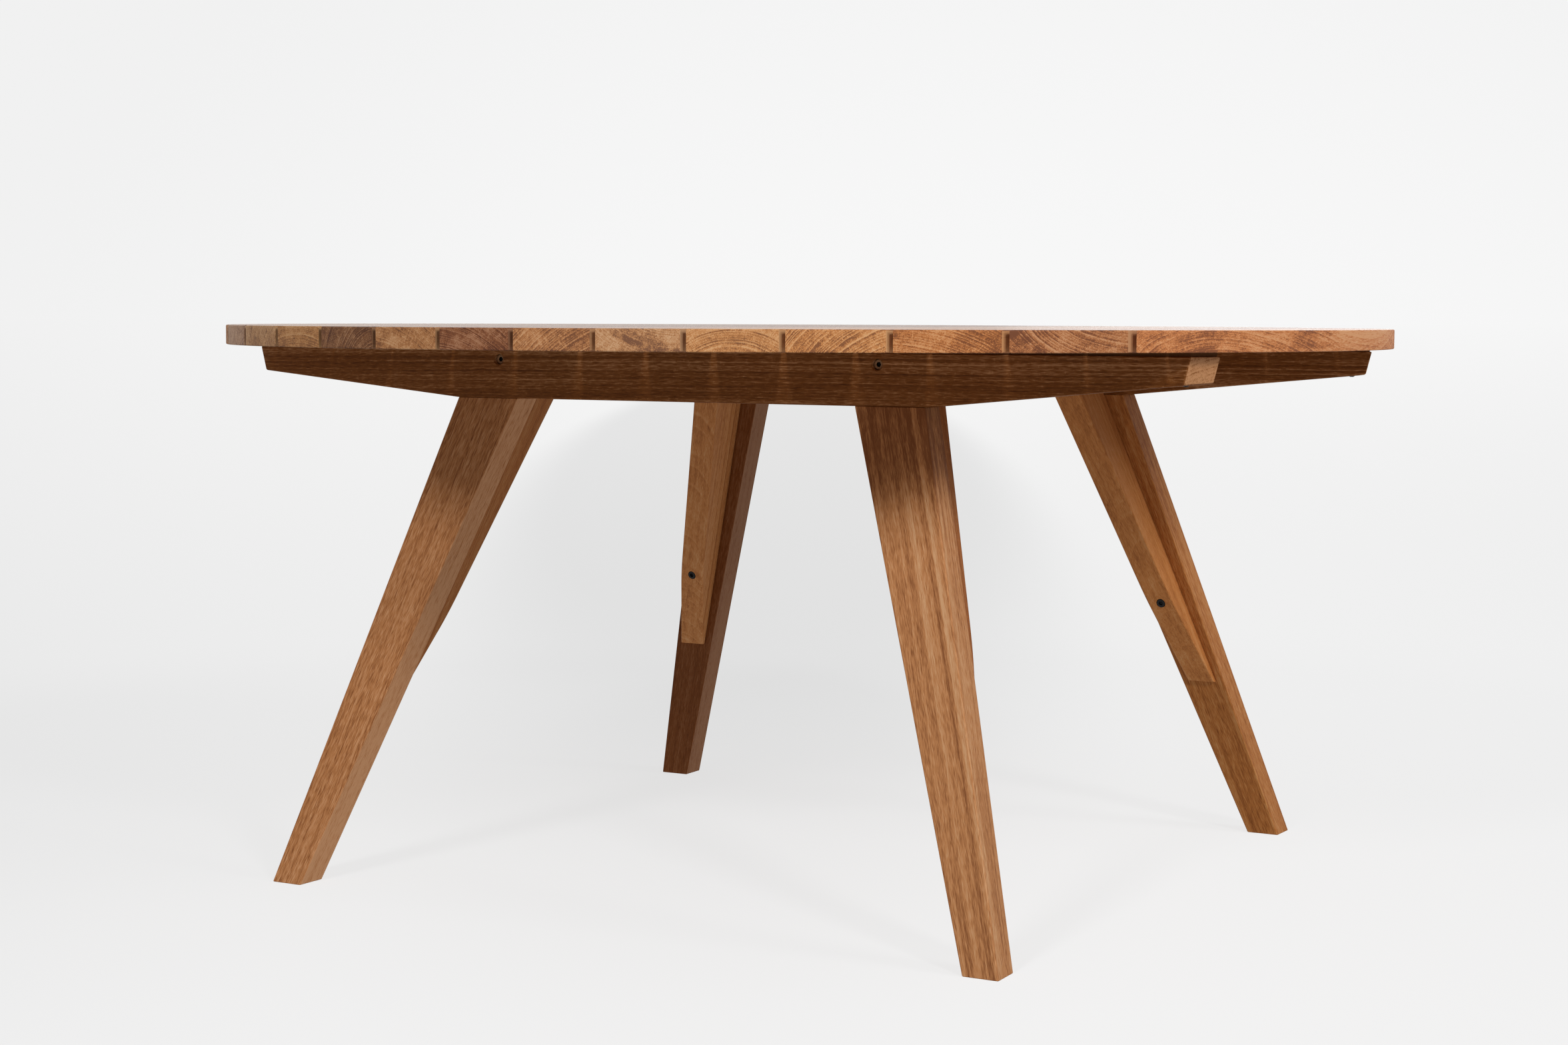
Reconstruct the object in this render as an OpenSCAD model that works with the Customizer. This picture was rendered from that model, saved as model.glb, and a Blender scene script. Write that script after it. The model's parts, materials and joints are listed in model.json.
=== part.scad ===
// Round slatted dining table on four splayed T-shaped legs.
// Lengths are in millimetres. X runs along the bearers, Y along the slats and Z up.
// The origin is on the floor under the centre of the top.

/* [Top] */
// Diameter of the round top
table_d = 1600; // [1500:10:1700]
// Height of the top's surface above the floor
table_h = 750; // [700:5:780]
// Thickness of the slats
slat_t = 26; // [22:1:32]
// Width of the slats between the two outer planks
slat_w = 95.5; // [88:0.5:102]
// Gap between two neighbouring slats
slat_gap = 6.3; // [4:0.1:9]
// Bevel of the rim's top edge
rim_top_bevel = 1.5; // [0.5:0.5:5]
// Bevel of the rim's bottom edge
rim_low_bevel = 1; // [0.5:0.5:5]

/* [Bearers] */
// Thickness of the bearers and of the leg boards
frame_t = 45; // [38:1:52]
// Distance from the table's middle to a bearer's outer face
bearer_out = 347; // [310:1:380]
// Depth of a bearer between the legs
bearer_h = 66; // [58:1:75]
// Depth of a bearer at its ends
bearer_end_h = 33; // [28:1:40]
// Distance from the rim to the top corner of a bearer's end
end_setback = 24; // [15:1:60]
// Slope of a bearer's end from the vertical
end_undercut = 13; // [0:1:25]
// Thickness of the black spacer strips
spacer_t = 5; // [3:0.5:8]
// Step from a bearer's face to the edge of its spacer strip
spacer_inset = 3; // [1:0.5:6]

/* [Legs] */
// Distance from the middle to the inner edge of a leg board at the bearer
leg_top_x = 254; // [230:1:280]
// Width of a leg board at the bearer
leg_top_w = 97; // [85:0.5:110]
// Distance from the middle to the inner edge of a foot
foot_x = 485; // [440:1:520]
// Width of a leg board at the floor
foot_w = 47; // [38:1:60]
// Distance from the table's middle to a foot's outer face
foot_out = 521; // [470:1:560]
// Turn of a leg's side faces, seen from above
leg_turn = 1.7; // [0:0.1:4]

/* [Fins] */
// Thickness of the fins
fin_t = 41; // [34:1:46]
// Depth of a fin behind the bearer
fin_head_depth = 82; // [70:1:95]
// Depth of a fin at its waist, measured level from the leg board
fin_waist_depth = 43; // [36:1:52]
// Height of a fin's waist
fin_waist_z = 356; // [320:1:400]
// Depth of a fin at its tip
fin_tip_depth = 7; // [5:1:14]
// Height of a fin's tip
fin_tip_z = 231; // [190:1:260]
// Length over which the waist is eased on each side
waist_ease = 26; // [15:1:40]

/* [Cross rails] */
// Thickness of the cross rails
rail_t = 40; // [30:1:45]
// Depth of the cross rails
rail_h = 55; // [44:1:57]
// Length of a rail's stub tenon
tenon_l = 20; // [12:1:26]
// Thickness of a rail's stub tenon
tenon_t = 16; // [12:1:18]
// Depth of a rail's stub tenon
tenon_h = 34; // [24:1:36]

/* [Bolts, dowels and screws] */
// Diameter of the bolts' shanks
bolt_d = 8; // [6:1:10]
// Diameter of the bolts' heads
bolt_head_d = 12.5; // [11:0.5:14]
// Height of the bolts' heads
bolt_head_h = 8; // [6:0.5:9]
// Size across the flats of the bolts' hexagon sockets
bolt_socket = 6; // [4:1:7]
// Depth of the bolts' hexagon sockets
bolt_socket_h = 4; // [3:0.5:5]
// Outside diameter of the threaded inserts
insert_d = 12; // [11:0.5:13]
// Length of the threaded inserts
insert_l = 22; // [16:1:26]
// Distance of a bearer bolt below the bearer's top
bearer_bolt_drop = 14; // [11:1:20]
// Distance of a bearer bolt's head below the bearer's face
bearer_bolt_sink = 5; // [2:0.5:8]
// Height of a leg bolt's head on the fin
leg_bolt_z = 350; // [335:1:365]
// Distance of a leg bolt's head below the fin's edge
leg_bolt_sink = 1; // [0.5:0.5:4]
// Diameter of the dowels
dowel_d = 8; // [6:1:9]
// Length of the dowels
dowel_l = 40; // [30:1:44]
// Spacing of the two dowels of a leg along the bearer
dowel_pitch = 44; // [30:1:56]
// Diameter of the slat screws' shanks
screw_d = 5; // [4:0.5:6]
// Diameter of the slat screws' heads
screw_head_d = 9; // [8:0.5:10]
// Height of the slat screws' heads
screw_head_h = 3.5; // [2.5:0.5:5]
// Wood between a slat screw's head and the bearer's top
screw_hold = 32; // [28:1:36]
// Depth that a slat screw reaches into its slat
screw_grip = 18; // [12:1:19]
// Distance of an outer plank's screw from the plank's straight edge
outer_screw_in = 15; // [10:1:20]

/* [Fits] */
// Play around a bolt, screw or dowel in its hole, on the radius
hole_play = 0.2; // [0.1:0.05:0.5]
// Play around a bolt's or screw's head in its recess, on the radius
head_play = 0.6; // [0.3:0.1:1]
// Play around a stub tenon in its mortise, on each side
tenon_play = 0.2; // [0.1:0.05:0.5]

/* [Hidden] */

$fn = 96;
table_r = table_d / 2;
inner_slats = 13;
half_slats = (inner_slats - 1) / 2;
slat_pitch = slat_w + slat_gap;
plank_in = half_slats * slat_pitch + slat_w / 2 + slat_gap;

slat_z = table_h - slat_t;
bearer_top = slat_z - spacer_t;
bearer_low = bearer_top - bearer_h;
bearer_in = bearer_out - frame_t;
bearer_mid = bearer_out - frame_t / 2;
bearer_kink_x = leg_top_x + leg_top_w;
end_circle_r = table_r - end_setback;
end_x = sqrt(pow(end_circle_r, 2) - pow(bearer_out, 2));
end_angle = asin(bearer_mid / end_circle_r);

// A length that reaches past every piece that it cuts
beyond = table_d;

lean = atan((foot_out - bearer_out) / bearer_low);
fin_head_in = bearer_in - fin_head_depth;
fin_waist_in = board_in(fin_waist_z) - fin_waist_depth;
fin_tip_in = board_in(fin_tip_z) - fin_tip_depth;
rail_low = bearer_top - rail_h;
rail_mid = bearer_top - rail_h / 2;
rail_x = fin_x(rail_mid, fin_head_in);

bearer_bolt_z = bearer_top - bearer_bolt_drop;
bearer_bolt_x = fin_x(bearer_bolt_z, bearer_in);
bolt_bite = insert_l - 2;
leg_bolt_y = fin_in(leg_bolt_z);
leg_bolt_reach = (board_in(leg_bolt_z) - leg_bolt_y) * cos(lean);
dowel_offset = screw_head_d / 2 + head_play + dowel_d / 2 + 2;
screw_seat_z = bearer_top - screw_hold;
screw_xs = [
    -plank_in - outer_screw_in,
    for (i = [-half_slats:half_slats]) i * slat_pitch,
    plank_in + outer_screw_in
];
sides = [-1, 1];

wood_top = [0.72, 0.48, 0.29];
wood_frame = [0.43, 0.25, 0.13];
wood_leg = [0.58, 0.37, 0.22];

// Level distance of a leg board's outer face from the table's middle, at height z
function board_out(z) = foot_out + (bearer_out - foot_out) * z / bearer_low;

// Level distance of a leg board's inner face from the table's middle, at height z
function board_in(z) = board_out(z) - frame_t;

// Share of the way from one value to another
function between(from, to, share) = from + (to - from) * share;

// Level distance of a fin's straight inner edge from the table's middle, above the waist
function fin_in(z) = between(fin_head_in, fin_waist_in, (bearer_low - z) / (bearer_low - fin_waist_z));

// Sideways place of a leg's middle line at height z, in the bearer's outer face
function leg_x(z) = between(foot_x + foot_w / 2, leg_top_x + leg_top_w / 2, z / bearer_low);

// Sideways place of a fin's middle at height z, at the level distance y from the table's middle
function fin_x(z, y) = leg_x(z) + (y - bearer_out) * tan(leg_turn);

// Point at share s of the soft curve from a to c that bends towards b
function eased(a, b, c, s) = pow(1 - s, 2) * a + 2 * s * (1 - s) * b + pow(s, 2) * c;

// Point that lies the length l from b on the way to a
function off_corner(b, a, l) = b + l * (a - b) / norm(a - b);

// Height of a bearer's underside at the sideways place x, along its rising ends
function rise_z(x) = between(bearer_low, bearer_top - bearer_end_h, (x - bearer_kink_x) / (end_x - bearer_kink_x));

// Puts a piece made for the back right leg at any of the four legs
module at_leg(side, end) {
    if (side < 0) {
        mirror([1, 0, 0]) at_end(end) children();
    } else {
        at_end(end) children();
    }
}

// Puts a piece made for the back of the table at the back or the front
module at_end(end) {
    if (end < 0) {
        mirror([0, 1, 0]) children();
    } else {
        children();
    }
}

// The whole round top as one disc with bevelled rim edges
module top_disc() {
    translate([0, 0, slat_z]) rotate_extrude($fn = 360) polygon([
        [0, 0], [table_r - rim_low_bevel, 0], [table_r, rim_low_bevel],
        [table_r, slat_t - rim_top_bevel], [table_r - rim_top_bevel, slat_t], [0, slat_t]
    ]);
}

// Upright holes for the slat screws, from a height up, over both bearers
module screw_holes(xs, z, l) {
    for (x = xs) {
        for (end = sides) {
            translate([x, end * bearer_mid, z]) cylinder(r = screw_d / 2 + hole_play, h = l);
        }
    }
}

// Slat number n, counted from the left, cut from the round top
module slat(n) {
    x_middle = (n - 2 - half_slats) * slat_pitch;
    x_low = n == 1 ? -beyond : x_middle - slat_w / 2;
    x_high = n == inner_slats + 2 ? beyond : x_middle + slat_w / 2;
    color(wood_top) difference() {
        intersection() {
            top_disc();
            translate([x_low, -beyond, 0]) cube([x_high - x_low, 2 * beyond, beyond]);
        }
        screw_holes([screw_xs[n - 1]], slat_z - spacer_t, spacer_t + screw_grip + hole_play);
    }
}

// Everything past a bearer's two slanted ends, starting a step inside them
module past_ends(inset) {
    for (side = sides) {
        at_leg(side, 1)
            translate([end_x - inset, bearer_out, bearer_top])
            rotate([0, 0, end_angle]) rotate([0, end_undercut, 0])
            translate([0, -beyond / 2, -beyond / 2]) cube(beyond);
    }
}

// Bearer at the back of the table
module bearer_shape() {
    difference() {
        translate([0, bearer_out, 0]) rotate([90, 0, 0]) linear_extrude(frame_t) polygon([
            [-bearer_kink_x, bearer_low], [bearer_kink_x, bearer_low],
            [table_r, rise_z(table_r)], [table_r, bearer_top],
            [-table_r, bearer_top], [-table_r, rise_z(table_r)]
        ]);
        past_ends(0);
        screw_holes(screw_xs, bearer_low, bearer_h + 1);
        for (x = screw_xs) {
            translate([x, bearer_mid, bearer_low - 1])
                cylinder(r = screw_head_d / 2 + head_play, h = screw_seat_z - bearer_low + 1);
        }
        for (side = sides) {
            at_leg(side, 1) {
                bearer_bolt_hole(bearer_out + 1, frame_t + 2, bolt_d / 2 + hole_play);
                bearer_bolt_hole(bearer_out + 1, bearer_bolt_sink + bolt_head_h + 1, bolt_head_d / 2 + head_play);
                dowel_pair(hole_play);
            }
        }
    }
}

// Black strip that keeps the slats off a bearer, at the back of the table
module spacer_shape() {
    difference() {
        translate([-table_r, bearer_in + spacer_inset, bearer_top])
            cube([table_d, frame_t - 2 * spacer_inset, spacer_t]);
        past_ends(spacer_inset);
        screw_holes(screw_xs, bearer_top - 1, spacer_t + 2);
    }
}

// Round hole inwards from the level distance y at the bearer bolt's place
module bearer_bolt_hole(y, l, r) {
    translate([bearer_bolt_x, y, bearer_bolt_z]) rotate([90, 0, 0]) cylinder(r = r, h = l);
}

// The two dowels of a leg, made larger on every side by the play
module dowel_pair(play) {
    for (side = sides) {
        translate([
            leg_x(bearer_low) + side * dowel_pitch / 2,
            bearer_mid + side * dowel_offset,
            bearer_low - dowel_l / 2 - play
        ]) cylinder(r = dowel_d / 2 + play, h = dowel_l + 2 * play);
    }
}

// Front outline in the bearer's outer face, carried through the leg along its turned side faces
module turned(outline) {
    translate([0, bearer_out, 0]) rotate([0, 0, -leg_turn]) rotate([90, 0, 0]) translate([0, 0, -beyond / 2])
        linear_extrude(beyond) polygon([for (p = outline) [p[0] * cos(leg_turn), p[1]]]);
}

// Side outline of level distances and heights, carried sideways through the leg
module sideways(outline) {
    rotate([90, 0, 90]) linear_extrude(table_r) polygon(outline);
}

// Places things on the leg bolt's axis, with their Z pointing outwards from the fin's inner edge
module on_leg_bolt() {
    translate([fin_x(leg_bolt_z, leg_bolt_y), leg_bolt_y, leg_bolt_z]) rotate([lean - 90, 0, 0]) children();
}

// Leg board at the back right, tapering to the foot and leaning outwards both ways
module leg_board_shape() {
    difference() {
        intersection() {
            turned([
                [foot_x, 0], [foot_x + foot_w, 0],
                [leg_top_x + leg_top_w, bearer_low], [leg_top_x, bearer_low]
            ]);
            sideways([
                [board_in(0), 0], [board_out(0), 0],
                [bearer_out, bearer_low], [bearer_in, bearer_low]
            ]);
        }
        dowel_pair(hole_play);
        on_leg_bolt() cylinder(r = insert_d / 2 + hole_play, h = leg_bolt_reach + insert_l + hole_play);
    }
}

// Leg fin at the back right, from the bearer's top down to its tip on the leg board
module leg_fin_shape() {
    head = [fin_head_in, bearer_low];
    waist = [fin_waist_in, fin_waist_z];
    tip = [fin_tip_in, fin_tip_z];
    ease_steps = 6;
    difference() {
        intersection() {
            turned([
                [leg_x(0) - fin_t / 2, 0], [leg_x(0) + fin_t / 2, 0],
                [leg_x(bearer_top) + fin_t / 2, bearer_top], [leg_x(bearer_top) - fin_t / 2, bearer_top]
            ]);
            sideways(concat(
                [[fin_head_in, bearer_top], head],
                [for (s = [0:ease_steps]) eased(
                    off_corner(waist, head, waist_ease), waist, off_corner(waist, tip, waist_ease), s / ease_steps)],
                [tip, [board_in(fin_tip_z), fin_tip_z], [bearer_in, bearer_low], [bearer_in, bearer_top]]
            ));
        }
        bearer_bolt_hole(bearer_in + 1, insert_l + 1 + hole_play, insert_d / 2 + hole_play);
        rail_tenon(tenon_play);
        on_leg_bolt() {
            cylinder(r = bolt_d / 2 + hole_play, h = leg_bolt_reach + 10);
            translate([0, 0, -20]) cylinder(r = bolt_head_d / 2 + head_play, h = 20 + leg_bolt_sink + bolt_head_h);
        }
    }
}

// Stub tenon at the back end of the right cross rail, made larger on every side by the play
module rail_tenon(play) {
    translate([rail_x - tenon_t / 2 - play, fin_head_in - 1, rail_mid - tenon_h / 2 - play])
        cube([tenon_t + 2 * play, tenon_l + 1 + play, tenon_h + 2 * play]);
}

// Cross rail at the right, between the front and the back fin
module cross_rail_shape() {
    translate([rail_x - rail_t / 2, -fin_head_in, rail_low]) cube([rail_t, 2 * fin_head_in, rail_h]);
    for (end = sides) {
        at_end(end) rail_tenon(0);
    }
}

// Socket-head bolt with its head's top at the origin and its shank along Z
module bolt(shank_l) {
    difference() {
        union() {
            cylinder(r = bolt_head_d / 2, h = bolt_head_h);
            cylinder(r = bolt_d / 2, h = bolt_head_h + shank_l);
        }
        translate([0, 0, -1]) cylinder(r = bolt_socket / 2 / cos(30), h = bolt_socket_h + 1, $fn = 6);
    }
}

// Threaded insert with its mouth at the origin, along Z
module insert() {
    difference() {
        cylinder(r = insert_d / 2, h = insert_l);
        translate([0, 0, -1]) cylinder(r = bolt_d / 2 + hole_play, h = insert_l + 2);
    }
}

// Pan-head slat screws over one bearer, at the back of the table
module slat_screws_shape() {
    shank_l = screw_hold + spacer_t + screw_grip;
    for (x = screw_xs) {
        translate([x, bearer_mid, screw_seat_z]) {
            cylinder(r = screw_d / 2, h = shank_l);
            translate([0, 0, -screw_head_h]) cylinder(r = screw_head_d / 2, h = screw_head_h);
        }
    }
}

// Repeats a piece made for the back right leg at all four legs
module at_all_legs() {
    for (side = sides) {
        for (end = sides) {
            at_leg(side, end) children();
        }
    }
}

module bearer(end) {
    color(wood_frame) at_end(end) bearer_shape();
}

module spacer_strip(end) {
    color("black") at_end(end) spacer_shape();
}

module leg_board(side, end) {
    color(wood_leg) at_leg(side, end) leg_board_shape();
}

module leg_fin(side, end) {
    color(wood_leg) at_leg(side, end) leg_fin_shape();
}

module cross_rail(side) {
    color(wood_frame) at_leg(side, 1) cross_rail_shape();
}

module leg_dowels() {
    color("burlywood") at_all_legs() dowel_pair(0);
}

module leg_bolts() {
    shank_l = leg_bolt_reach + bolt_bite - leg_bolt_sink - bolt_head_h;
    color("black") at_all_legs() on_leg_bolt() translate([0, 0, leg_bolt_sink]) bolt(shank_l);
}

module leg_inserts() {
    color("darkgoldenrod") at_all_legs() on_leg_bolt() translate([0, 0, leg_bolt_reach]) insert();
}

module bearer_bolts() {
    shank_l = frame_t - bearer_bolt_sink - bolt_head_h + bolt_bite;
    color([0.35, 0.24, 0.14]) at_all_legs()
        translate([bearer_bolt_x, bearer_out - bearer_bolt_sink, bearer_bolt_z]) rotate([90, 0, 0]) bolt(shank_l);
}

module bearer_inserts() {
    color("darkgoldenrod") at_all_legs()
        translate([bearer_bolt_x, bearer_in, bearer_bolt_z]) rotate([90, 0, 0]) insert();
}

module slat_screws(end) {
    color("black") at_end(end) slat_screws_shape();
}

slat(1);  // slat_01
slat(2);  // slat_02
slat(3);  // slat_03
slat(4);  // slat_04
slat(5);  // slat_05
slat(6);  // slat_06
slat(7);  // slat_07
slat(8);  // slat_08
slat(9);  // slat_09
slat(10);  // slat_10
slat(11);  // slat_11
slat(12);  // slat_12
slat(13);  // slat_13
slat(14);  // slat_14
slat(15);  // slat_15
bearer(-1);  // bearer_front
bearer(1);  // bearer_back
spacer_strip(-1);  // spacer_strip_front
spacer_strip(1);  // spacer_strip_back
leg_board(-1, -1);  // leg_board_front_left
leg_board(1, -1);  // leg_board_front_right
leg_board(-1, 1);  // leg_board_back_left
leg_board(1, 1);  // leg_board_back_right
leg_fin(-1, -1);  // leg_fin_front_left
leg_fin(1, -1);  // leg_fin_front_right
leg_fin(-1, 1);  // leg_fin_back_left
leg_fin(1, 1);  // leg_fin_back_right
cross_rail(-1);  // cross_rail_left
cross_rail(1);  // cross_rail_right
leg_dowels();
leg_bolts();
leg_inserts();
bearer_bolts();
bearer_inserts();
slat_screws(-1);  // slat_screws_front
slat_screws(1);  // slat_screws_back
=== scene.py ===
"""A round dining table of oiled hardwood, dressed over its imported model.

Every wooden piece is rebuilt as a softened solid with its own grain. Lengths are in metres, in the model's
frame: X runs along the bearers, Y along the slats and Z up, with the origin on the floor under the top.
"""

import json
import math

import bpy
import numpy as np
from mathutils import Matrix, Vector

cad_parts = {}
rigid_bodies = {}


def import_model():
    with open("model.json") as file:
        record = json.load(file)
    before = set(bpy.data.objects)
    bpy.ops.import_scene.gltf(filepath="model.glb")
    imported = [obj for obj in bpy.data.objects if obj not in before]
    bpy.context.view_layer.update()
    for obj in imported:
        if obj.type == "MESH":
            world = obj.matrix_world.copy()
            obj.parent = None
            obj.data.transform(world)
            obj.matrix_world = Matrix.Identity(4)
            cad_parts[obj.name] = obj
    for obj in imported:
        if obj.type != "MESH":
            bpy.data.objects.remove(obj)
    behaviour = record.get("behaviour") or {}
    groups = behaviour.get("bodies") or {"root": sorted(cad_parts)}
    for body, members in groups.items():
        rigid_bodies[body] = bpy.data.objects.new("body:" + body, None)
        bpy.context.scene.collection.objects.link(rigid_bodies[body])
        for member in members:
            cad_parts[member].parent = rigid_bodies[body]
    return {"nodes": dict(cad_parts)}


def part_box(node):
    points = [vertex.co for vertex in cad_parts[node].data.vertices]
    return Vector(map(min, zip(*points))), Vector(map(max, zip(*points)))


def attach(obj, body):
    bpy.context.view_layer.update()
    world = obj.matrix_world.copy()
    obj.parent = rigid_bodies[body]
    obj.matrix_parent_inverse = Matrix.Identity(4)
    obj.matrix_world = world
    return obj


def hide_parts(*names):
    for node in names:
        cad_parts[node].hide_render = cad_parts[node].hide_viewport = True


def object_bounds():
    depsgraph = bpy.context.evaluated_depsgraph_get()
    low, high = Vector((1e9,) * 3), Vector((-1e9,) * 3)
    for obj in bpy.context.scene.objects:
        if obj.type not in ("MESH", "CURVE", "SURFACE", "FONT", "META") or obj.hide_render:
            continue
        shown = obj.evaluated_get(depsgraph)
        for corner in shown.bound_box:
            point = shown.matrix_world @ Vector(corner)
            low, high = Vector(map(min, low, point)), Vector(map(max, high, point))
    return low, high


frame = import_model()
model_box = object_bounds()

# Sizes of the top
TOP_RADIUS = model_box[1].y
RIM_TOP_SOFT = 0.0022
RIM_LOW_SOFT = 0.0015
SLAT_ARRIS = 0.0014
SLAT_CORNER = 0.001
SLATS = [f"slat_{number:02d}" for number in range(1, 16)]

# Sizes of the bearers
(_, BEARER_IN, BEARER_LOW), (_, BEARER_OUT, BEARER_TOP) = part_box("bearer_back")
BEARER_MID = (BEARER_IN + BEARER_OUT) / 2
BEARER_END_DEPTH = 0.033
BEARER_END_RADIUS = TOP_RADIUS - 0.024
BEARER_END_SLOPE = math.radians(13)
BEARER_SOFT = 0.002
BEARER_CORNER_SOFT = 0.0025

# Sizes of the legs
LEG_TOP_X = 0.254
LEG_TOP_WIDTH = 0.097
FOOT_X = 0.485
FOOT_WIDTH = 0.047
FOOT_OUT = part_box("leg_board_back_right")[1].y
LEG_TURN = math.radians(1.7)
LEG_SOFT = 0.0018
FOOT_SOFT = 0.0015
LEG_HEAD_SOFT = 0.0008
FRAME_THICK = BEARER_OUT - BEARER_IN
LEG_LEAN = math.atan((FOOT_OUT - BEARER_OUT) / BEARER_LOW)

# Sizes of the fins and the cross rails
FIN_THICK = 0.041
FIN_HEAD_IN = BEARER_IN - 0.082
FIN_WAIST_DEPTH = 0.043
FIN_WAIST_Z = 0.356
FIN_TIP_DEPTH = 0.007
FIN_TIP_Z = 0.231
FIN_WAIST_EASE = 0.026
FIN_SOFT = 0.0025
FIN_TIP_SOFT = 0.0015
FIN_TIP_CORNER_SOFT = 0.002
FIN_HEAD_SOFT = 0.0008
RAIL_THICK = 0.04
RAIL_LOW, RAIL_TOP = (corner.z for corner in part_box("cross_rail_right"))
RAIL_MIDDLE = (RAIL_LOW + RAIL_TOP) / 2
TENON_LONG = 0.02
TENON_THICK = 0.016
TENON_DEEP = 0.034
RAIL_SOFT = 0.0025
RAIL_LONG_EDGE = 0.18

# Sizes of the bolts, their inserts and the dowels
BOLT_HEAD = 0.00625
BOLT_HEAD_HIGH = 0.008
BOLT_SHANK = 0.004
BOLT_SOCKET = 0.003
BOLT_SOCKET_DEEP = 0.004
BOLT_HEAD_ROUND = 0.0009
BOLT_TIP_CHAMFER = 0.001
BOLT_TIP_SHORT = 0.002
DRILL_POINT = 0.0006
SOCKET_CHAMFER = 0.0004
FINE_EDGE = 0.0003
INSERT_RADIUS = 0.006
INSERT_LONG = 0.022
BEARER_BOLT_Z = BEARER_TOP - 0.014
BEARER_BOLT_SINK = 0.005
LEG_BOLT_Z = 0.35
LEG_BOLT_SINK = 0.001
DOWEL_RADIUS = 0.004
DOWEL_HALF = 0.02
DOWEL_ALONG = 0.022
DOWEL_CLEAR = 0.002

# Sizes of the slat screws. Their dome is given as shares of the head's radius, each with its height
SCREW_SHANK = 0.0025
SCREW_HEAD = 0.0045
SCREW_HEAD_HIGH = 0.0035
SCREW_SEAT = BEARER_TOP - 0.032
SCREW_TIP = BEARER_TOP + 0.023
SCREW_POINT = 0.002
SCREW_EDGE = 0.0002
SCREW_STAR = 0.0016
SCREW_STAR_DEEP = 0.0016
STAR_LOBES = 0.16
SCREW_DOME = ((0.62, 0.0003), (0.88, 0.0011), (1, 0.0022))
OUTER_SCREW_IN = 0.015

# The holes: play round what goes in them, bevels at their mouths, and how far the cutters run on
HOLE_PLAY = 0.0002
HEAD_PLAY = 0.0006
MOUTH_BEVEL = 0.0009
BEARER_MOUTH_BEVEL = 0.0016
CUT_OVER = 0.002
HOLE_LEAD = 0.001
BOLT_HOLE_OVER = 0.01
SCREW_HOLE_REACH = 0.08

# Roundings have this many facets, and edges flatter than this angle are shaded smooth
SOFT_FACETS = 4
SMOOTH_ANGLE = math.radians(32)

SIDES = (-1, 1)
SIDE_NAMES = {-1: "left", 1: "right"}
END_NAMES = {-1: "front", 1: "back"}


# The solids


def solid(name, points):
    """Closed solids from an array of points[copy, ring, place, xyz]: four-sided faces join each ring to the
    next one, and one flat face closes each of the two ends."""
    copies, rings, places = points.shape[:3]
    index = np.arange(copies * rings * places).reshape(copies, rings, places)
    here, ahead = index[:, :-1], index[:, 1:]
    walls = np.stack([here, np.roll(here, -1, 2), np.roll(ahead, -1, 2), ahead], -1).reshape(-1, 4)
    ends = np.concatenate([index[:, 0, ::-1], index[:, -1]])
    mesh = bpy.data.meshes.new(name)
    mesh.from_pydata(points.reshape(-1, 3), [], walls.tolist() + ends.tolist())
    if volume(points) < 0:
        mesh.flip_normals()
    return add_object(name, mesh)


def add_object(name, data):
    thing = bpy.data.objects.new(name, data)
    bpy.context.collection.objects.link(thing)
    return thing


def volume(points):
    """Sign and rough size of a solid's volume: each ring's area vector dotted with the step to the next."""
    rings = points[0]
    spokes = rings - rings.mean(1, keepdims=True)
    areas = np.cross(spokes, np.roll(spokes, -1, 1)).sum(1)
    steps = np.diff(rings.mean(1), axis=0)
    return ((areas[:-1] + areas[1:]) * steps).sum()


def soften(piece, ring_soft, corner_soft):
    """Rounds the edges of a solid with two rings: by ring_soft from each place to the next one in its ring,
    and by corner_soft where edges join the rings. Zero leaves an edge sharp."""
    places = len(corner_soft)
    ring_soft = np.broadcast_to(ring_soft, (2, places))
    ends = edge_ends(piece.data)
    ring, place = ends // places, ends % places
    follows = (place[:, 0] + 1) % places == place[:, 1]
    start = np.where(follows, place[:, 0], place[:, 1])
    soft = np.where(ring[:, 0] == ring[:, 1], ring_soft[ring[:, 0], start], corner_soft[place[:, 0]])
    round_edges(piece, soft / soft.max(), soft.max())


def edge_ends(mesh):
    return np.array([edge.vertices[:] for edge in mesh.edges])


def round_edges(piece, weights, width):
    layer = piece.data.attributes.new("bevel_weight_edge", "FLOAT", "EDGE")
    layer.data.foreach_set("value", weights.astype(np.float32))
    rounding = piece.modifiers.new("rounding", "BEVEL")
    rounding.limit_method = "WEIGHT"
    rounding.width = width
    rounding.segments = SOFT_FACETS
    settle(piece)


def bore(at, along, stations):
    """Points of a round cutter, with its stations carried from a point along a direction."""
    return placed(turned_rings(stations, 40), at, along)


def mouth(radius, depth, bevel=MOUTH_BEVEL):
    """Stations of a blind hole with a small bevel at its mouth, entered at height zero."""
    return [(radius + bevel + CUT_OVER, -CUT_OVER), (radius, bevel), (radius, depth / 2), (radius, depth)]


def straight_hole(radius, start, stop):
    """Stations of a straight hole with a little play round what goes in it."""
    return [(radius + HOLE_PLAY, start), (radius + HOLE_PLAY, stop)]


def carve(piece, cutters):
    """Cuts holes out of a piece, given the cutters' points."""
    for number, points in enumerate(cutters):
        cutter = solid(f"cutter_{number}", points[None])
        cut = piece.modifiers.new(f"cut {number}", "BOOLEAN")
        cut.object = cutter
        cut.operation = "DIFFERENCE"
        cut.solver = "EXACT"
    settle(piece)
    for cutter in [o for o in bpy.data.objects if o.name.startswith("cutter_")]:
        bpy.data.objects.remove(cutter)


def settle(piece):
    """Makes a piece's modifiers part of its mesh."""
    graph = bpy.context.evaluated_depsgraph_get()
    mesh = bpy.data.meshes.new_from_object(piece.evaluated_get(graph))
    piece.modifiers.clear()
    piece.data = mesh


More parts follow.
